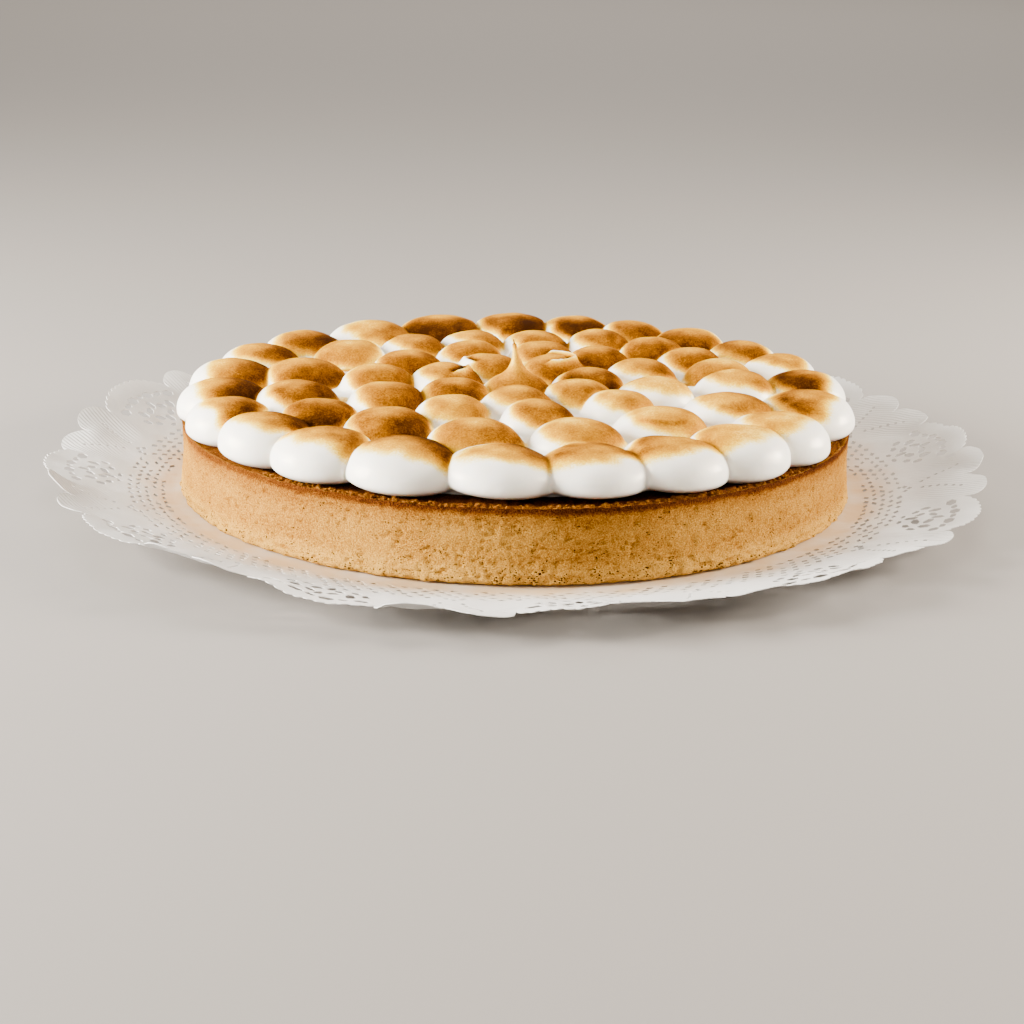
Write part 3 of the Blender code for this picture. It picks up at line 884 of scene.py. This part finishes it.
def lace_holes():
    """Holes of one repeat: share across, radius, half width and half depth in mm, turn, corners."""
    holes = []
    # inner net, five staggered rows right round
    hand = random.Random(31)
    for row, radius in enumerate((127.5, 130.4, 133.3, 136.2, 139.1)):
        for k in range(13):
            if hand.random() > 0.12:
                holes.append(((k + 0.25 + 0.5 * (row % 2)) / 13, radius, hand.uniform(1.5, 2.1),
                              hand.uniform(0.75, 1.15), hand.uniform(-22, 22), 4))
    # arc of seven holes under the scallops, wide and narrow in turn
    for k in range(7):
        share = 0.25 + (k - 3) * 0.062
        dip = 0.315 * (k - 3) ** 2
        holes.append((share, 160.2 - dip, 2.1 if k % 2 else 2.9, 1.2 if k % 2 else 2.0, 0, 6))
    # flower of six leaves, with slots on both sides of it
    for k in range(6):
        turn = 60 * k + 30
        holes.append((0.25 + 4.5 * math.cos(math.radians(turn)) / (151.0 * math.tau / SECTORS),
                      150.6 + 4.5 * math.sin(math.radians(turn)), 2.5, 1.5, turn, 6))
    for side in (-1, 1):
        holes.append((0.25 + side * 0.118, 152.6, 1.9, 2.5, 20 * side, 6))
        holes.append((0.25 + side * 0.162, 149.0, 1.4, 2.0, 30 * side, 6))
        holes.append((0.25 + side * 0.108, 146.2, 2.0, 1.4, -20 * side, 5))
        holes.append((0.25 + side * 0.045, 142.8, 1.8, 1.0, 0, 5))
    # pinholes out over each smooth lobe, spreading as they go
    for side in (-1, 1):
        for k in range(6):
            holes.append((0.75 + side * (0.045 + 0.017 * k), 147.0 + 2.6 * k, 0.85, 0.80, 0, 6))
    # three diamonds where the two lobes meet
    for side in (-1, 0, 1):
        holes.append((0.75 + 0.032 * side, 142.5 - 1.5 * abs(side), 1.5, 1.1, 0, 4))
    return holes


def sector_mesh():
    """One flat repeat of the paper, cut out with its holes; (x, y) in metres, first edge on +X."""
    step = math.tau / SECTORS

    def at(share, radius):
        return Vector((radius * math.cos(step * share), radius * math.sin(step * share)))

    ring_radii = [0.0, 40.0, 80.0, 105.0, 120.0] + [122.5 + 2.1 * k for k in range(19)]
    side_radii = [r * MM for r in ring_radii] + [paper_edge(0.0)]
    edge_steps = 156
    points = [at(0.0, radius) for radius in side_radii]
    points += [at(k / edge_steps, paper_edge(k / edge_steps)) for k in range(1, edge_steps)]
    points += [at(1.0, radius) for radius in reversed(side_radii[1:])]
    edges = [(k, (k + 1) % len(points)) for k in range(len(points))]
    rings = []
    centres = []
    for share, radius, wide, deep, turn, corners in lace_holes():
        share = share % 1.0
        centre = at(share, radius * MM)
        centres.append((centre, max(wide, deep) * MM))
        facing = step * share - math.pi / 2 + math.radians(turn)
        ring = []
        for k in range(corners):
            spin = math.tau * k / corners
            x = wide * math.cos(spin) * MM
            y = deep * math.sin(spin) * MM
            ring.append(centre + Vector((
                x * math.cos(facing) - y * math.sin(facing), x * math.sin(facing) + y * math.cos(facing))))
        edges += [(len(points) + k, len(points) + (k + 1) % corners) for k in range(corners)]
        points += ring
        rings.append(ring)
    for radius in side_radii[2:-1]:
        count = max(3, int(radius * step / (PAPER_GRAIN if radius > 0.12 else 0.012)))
        for k in range(1, count):
            share = k / count
            if radius > paper_edge(share) - 1.2 * MM:
                continue
            point = at(share, radius)
            if all((point - centre).length > reach + 0.3 * MM for centre, reach in centres):
                points.append(point)
    verts, _, faces, *_ = geometry.delaunay_2d_cdt(points, edges, [], 1, 1e-7)
    kept = []
    for face in faces:
        middle = sum((verts[k] for k in face), Vector((0.0, 0.0))) / len(face)
        if not any((middle - centre).length < reach and inside_ring(middle, ring)
                   for ring, (centre, reach) in zip(rings, centres)):
            kept.append(list(face))
    return verts, kept


def inside_ring(point, ring):
    """True when the point lies in the convex ring of points, given counterclockwise."""
    for first, second in zip(ring, ring[1:] + ring[:1]):
        side = second - first
        if side.x * (point.y - first.y) - side.y * (point.x - first.x) < 0.0:
            return False
    return True


def paper_height(share, turn):
    """Lift of the paper from the flat part (share 0) to its edge (share 1)."""
    ruffle = 0.6 * np.sin(5.0 * turn + 0.8) + 0.4 * np.sin(9.0 * turn + 2.0)
    rise = PAPER_RISE + PAPER_LEAN * np.sin(turn)
    share = np.clip(share, 0.0, 1.2)
    return rise * share ** 1.3 + PAPER_RUFFLE * ruffle * share ** 2


def repeat_tree():
    """Nodes that turn one repeat of the lace round the middle and sew the repeats together."""
    tree, given = new_tree("lace repeats", (("Repeats", "Int"), ("Seam", "Float")))
    spots = put(tree, "GeometryNodePoints", {"Count": given["Repeats"]})
    number = put(tree, "GeometryNodeInputIndex")
    step = put(tree, "ShaderNodeMath", (math.tau, given["Repeats"]), operation="DIVIDE")
    turn = put(tree, "ShaderNodeMath", (number, step), operation="MULTIPLY")
    spin = put(tree, "ShaderNodeCombineXYZ", {"Z": turn})
    repeats = put(tree, "GeometryNodeInstanceOnPoints", {
        "Points": spots, "Instance": given["Geometry"], "Rotation": spin})
    real = put(tree, "GeometryNodeRealizeInstances", (repeats,))
    sewn = put(tree, "GeometryNodeMergeByDistance", {"Geometry": real, "Distance": given["Seam"]})
    return end_tree(tree, given, sewn)


def make_paper():
    material = embossed_paper()
    verts, faces = sector_mesh()
    mesh = bpy.data.meshes.new("lace_paper_sheet")
    mesh.from_pydata([(v.x, v.y, 0.0) for v in verts], [], faces)
    made = grow(new_piece("lace_paper_sheet", mesh), repeat_tree(), {
        "Repeats": SECTORS, "Seam": 0.02 * MM, "Material": material})
    mesh = made.data
    points = points_of(mesh)
    radius = np.hypot(points[:, 0], points[:, 1])
    turn = np.arctan2(points[:, 1], points[:, 0])
    sector = (turn % math.tau) * SECTORS / math.tau % 1.0
    share = (radius - PAPER_FLAT_RADIUS) / (PAPER_RADIUS - PAPER_FLAT_RADIUS)
    flat = points.copy()
    # creases that run outwards, crumples of 13 mm and small dents of 5 mm
    crease = noise_at(turned(36.0, turn, 6.0 * radius), 3.0, 2.0)
    crumple = noise_at(points, 13.0 * MM, 6.0)
    dents = noise_at(points, 5.0 * MM, 11.0)
    lift = np.clip(share, 0.0, 1.3)
    height = np.where(share > 0.0, paper_height(share, turn), 0.0)
    height = height + MM * (1.1 * crease * lift ** 1.5 + 1.2 * crumple * lift + 0.35 * dents * lift)
    # the smooth lobes curl up or down
    lobe = smoothstep(0.5, 0.56, sector) * smoothstep(0.72, 1.05, share)
    curl = noise_at(turned(1.0, turn, 0.0 * turn), 0.22, 8.0)
    height = height + lobe * curl * LOBE_CURL
    points[:, 0] -= np.cos(turn) * lobe * np.abs(curl) * LOBE_PULL
    points[:, 1] -= np.sin(turn) * lobe * np.abs(curl) * LOBE_PULL
    points[:, 2] = PAPER_FLOOR + 0.1 * MM + np.maximum(height, 0.0)
    move_points(mesh, points)
    corners = np.empty(len(mesh.loops), dtype=int)
    mesh.loops.foreach_get("vertex_index", corners)
    layer = mesh.uv_layers.new(name="flat")
    layer.data.foreach_set("uv", (flat[corners][:, :2] / MM).ravel())
    set_attribute(mesh, "out", "FLOAT", np.clip(share * 1.6 - 0.1, 0.0, 1.0))
    set_attribute(mesh, "rib", "FLOAT", smoothstep(0.5, 0.53, sector) * smoothstep(0.45, 0.6, share))
    thick = made.modifiers.new("thickness", "SOLIDIFY")
    thick.thickness = PAPER_THICKNESS
    thick.offset = 1.0
    coat(bake(made).data, material)
    made.data.set_sharp_from_angle(angle=math.radians(35.0))
    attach(made, "root")
    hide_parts("lace_paper")


# ---------------------------------------------------------------- stage

def make_floor():
    mesh = bpy.data.meshes.new("floor")
    reach = 6.0
    corners = [(-reach, -reach, 0.0), (reach, -reach, 0.0), (reach, reach, 0.0), (-reach, reach, 0.0)]
    mesh.from_pydata(corners, [], [(0, 1, 2, 3)])
    mesh.materials.append(floor_paint())
    made = new_piece("floor", mesh)
    made.location.z = CAD_BOX[0][2] - 0.05 * MM


def make_lights():
    """Soft daylight from both sides and above; two more lights only brighten the floor."""
    tart = (0.0, 0.0, 0.03)
    for name, place, target, size, power, tint in (
            ("window_left", (-0.95, -0.16, 0.30), tart, 0.50, 84.0, "#FFFCF6"),
            ("window_right", (0.85, 0.10, 0.30), tart, 0.28, 33.0, "#FFF6EA"),
            ("sky", (0.0, -0.2, 1.3), tart, 1.4, 8.0, "#FFF8EE"),
            ("far_floor", (0.0, 3.2, 2.4), (0.0, 3.2, 0.0), 3.0, 120.0, "#FFFAF4"),
            ("near_floor", (0.0, -4.2, 2.6), (0.0, -4.2, 0.0), 3.0, 90.0, "#FFFAF4"),
    ):
        light = bpy.data.lights.new(name, "AREA")
        light.size = size
        light.energy = power
        light.color = colour(tint)[:3]
        made = new_piece(name, light)
        made.location = place
        made.rotation_euler = (Vector(target) - made.location).to_track_quat("-Z", "Y").to_euler()
    world = bpy.data.worlds.new("room")
    world.use_nodes = True
    background = world.node_tree.nodes["Background"]
    give(world.node_tree, background, {"Color": colour("#F8EFE2"), "Strength": 0.52})
    bpy.context.scene.world = world


def make_camera():
    lens = bpy.data.cameras.new("camera")
    lens.lens = LENS
    lens.sensor_width = 36.0
    lens.clip_start = 0.01
    made = new_piece("camera", lens)
    ahead = Vector((math.sin(CAMERA_TURN) * math.cos(CAMERA_DOWN),
                    math.cos(CAMERA_TURN) * math.cos(CAMERA_DOWN), -math.sin(CAMERA_DOWN)))
    level = Vector((math.cos(CAMERA_TURN), -math.sin(CAMERA_TURN), 0.0))
    right = level * math.cos(CAMERA_ROLL) + level.cross(ahead) * math.sin(CAMERA_ROLL)
    turn = Matrix((right, right.cross(ahead), -ahead)).transposed()
    place = CAMERA_PLACE * TART_RADIUS + Vector((0.0, 0.0, SHELL_FLOOR))
    made.matrix_world = Matrix.Translation(place) @ turn.to_4x4()
    bpy.context.scene.camera = made


make_camera()
make_lights()
make_floor()
make_shell()
make_meringue()
make_paper()
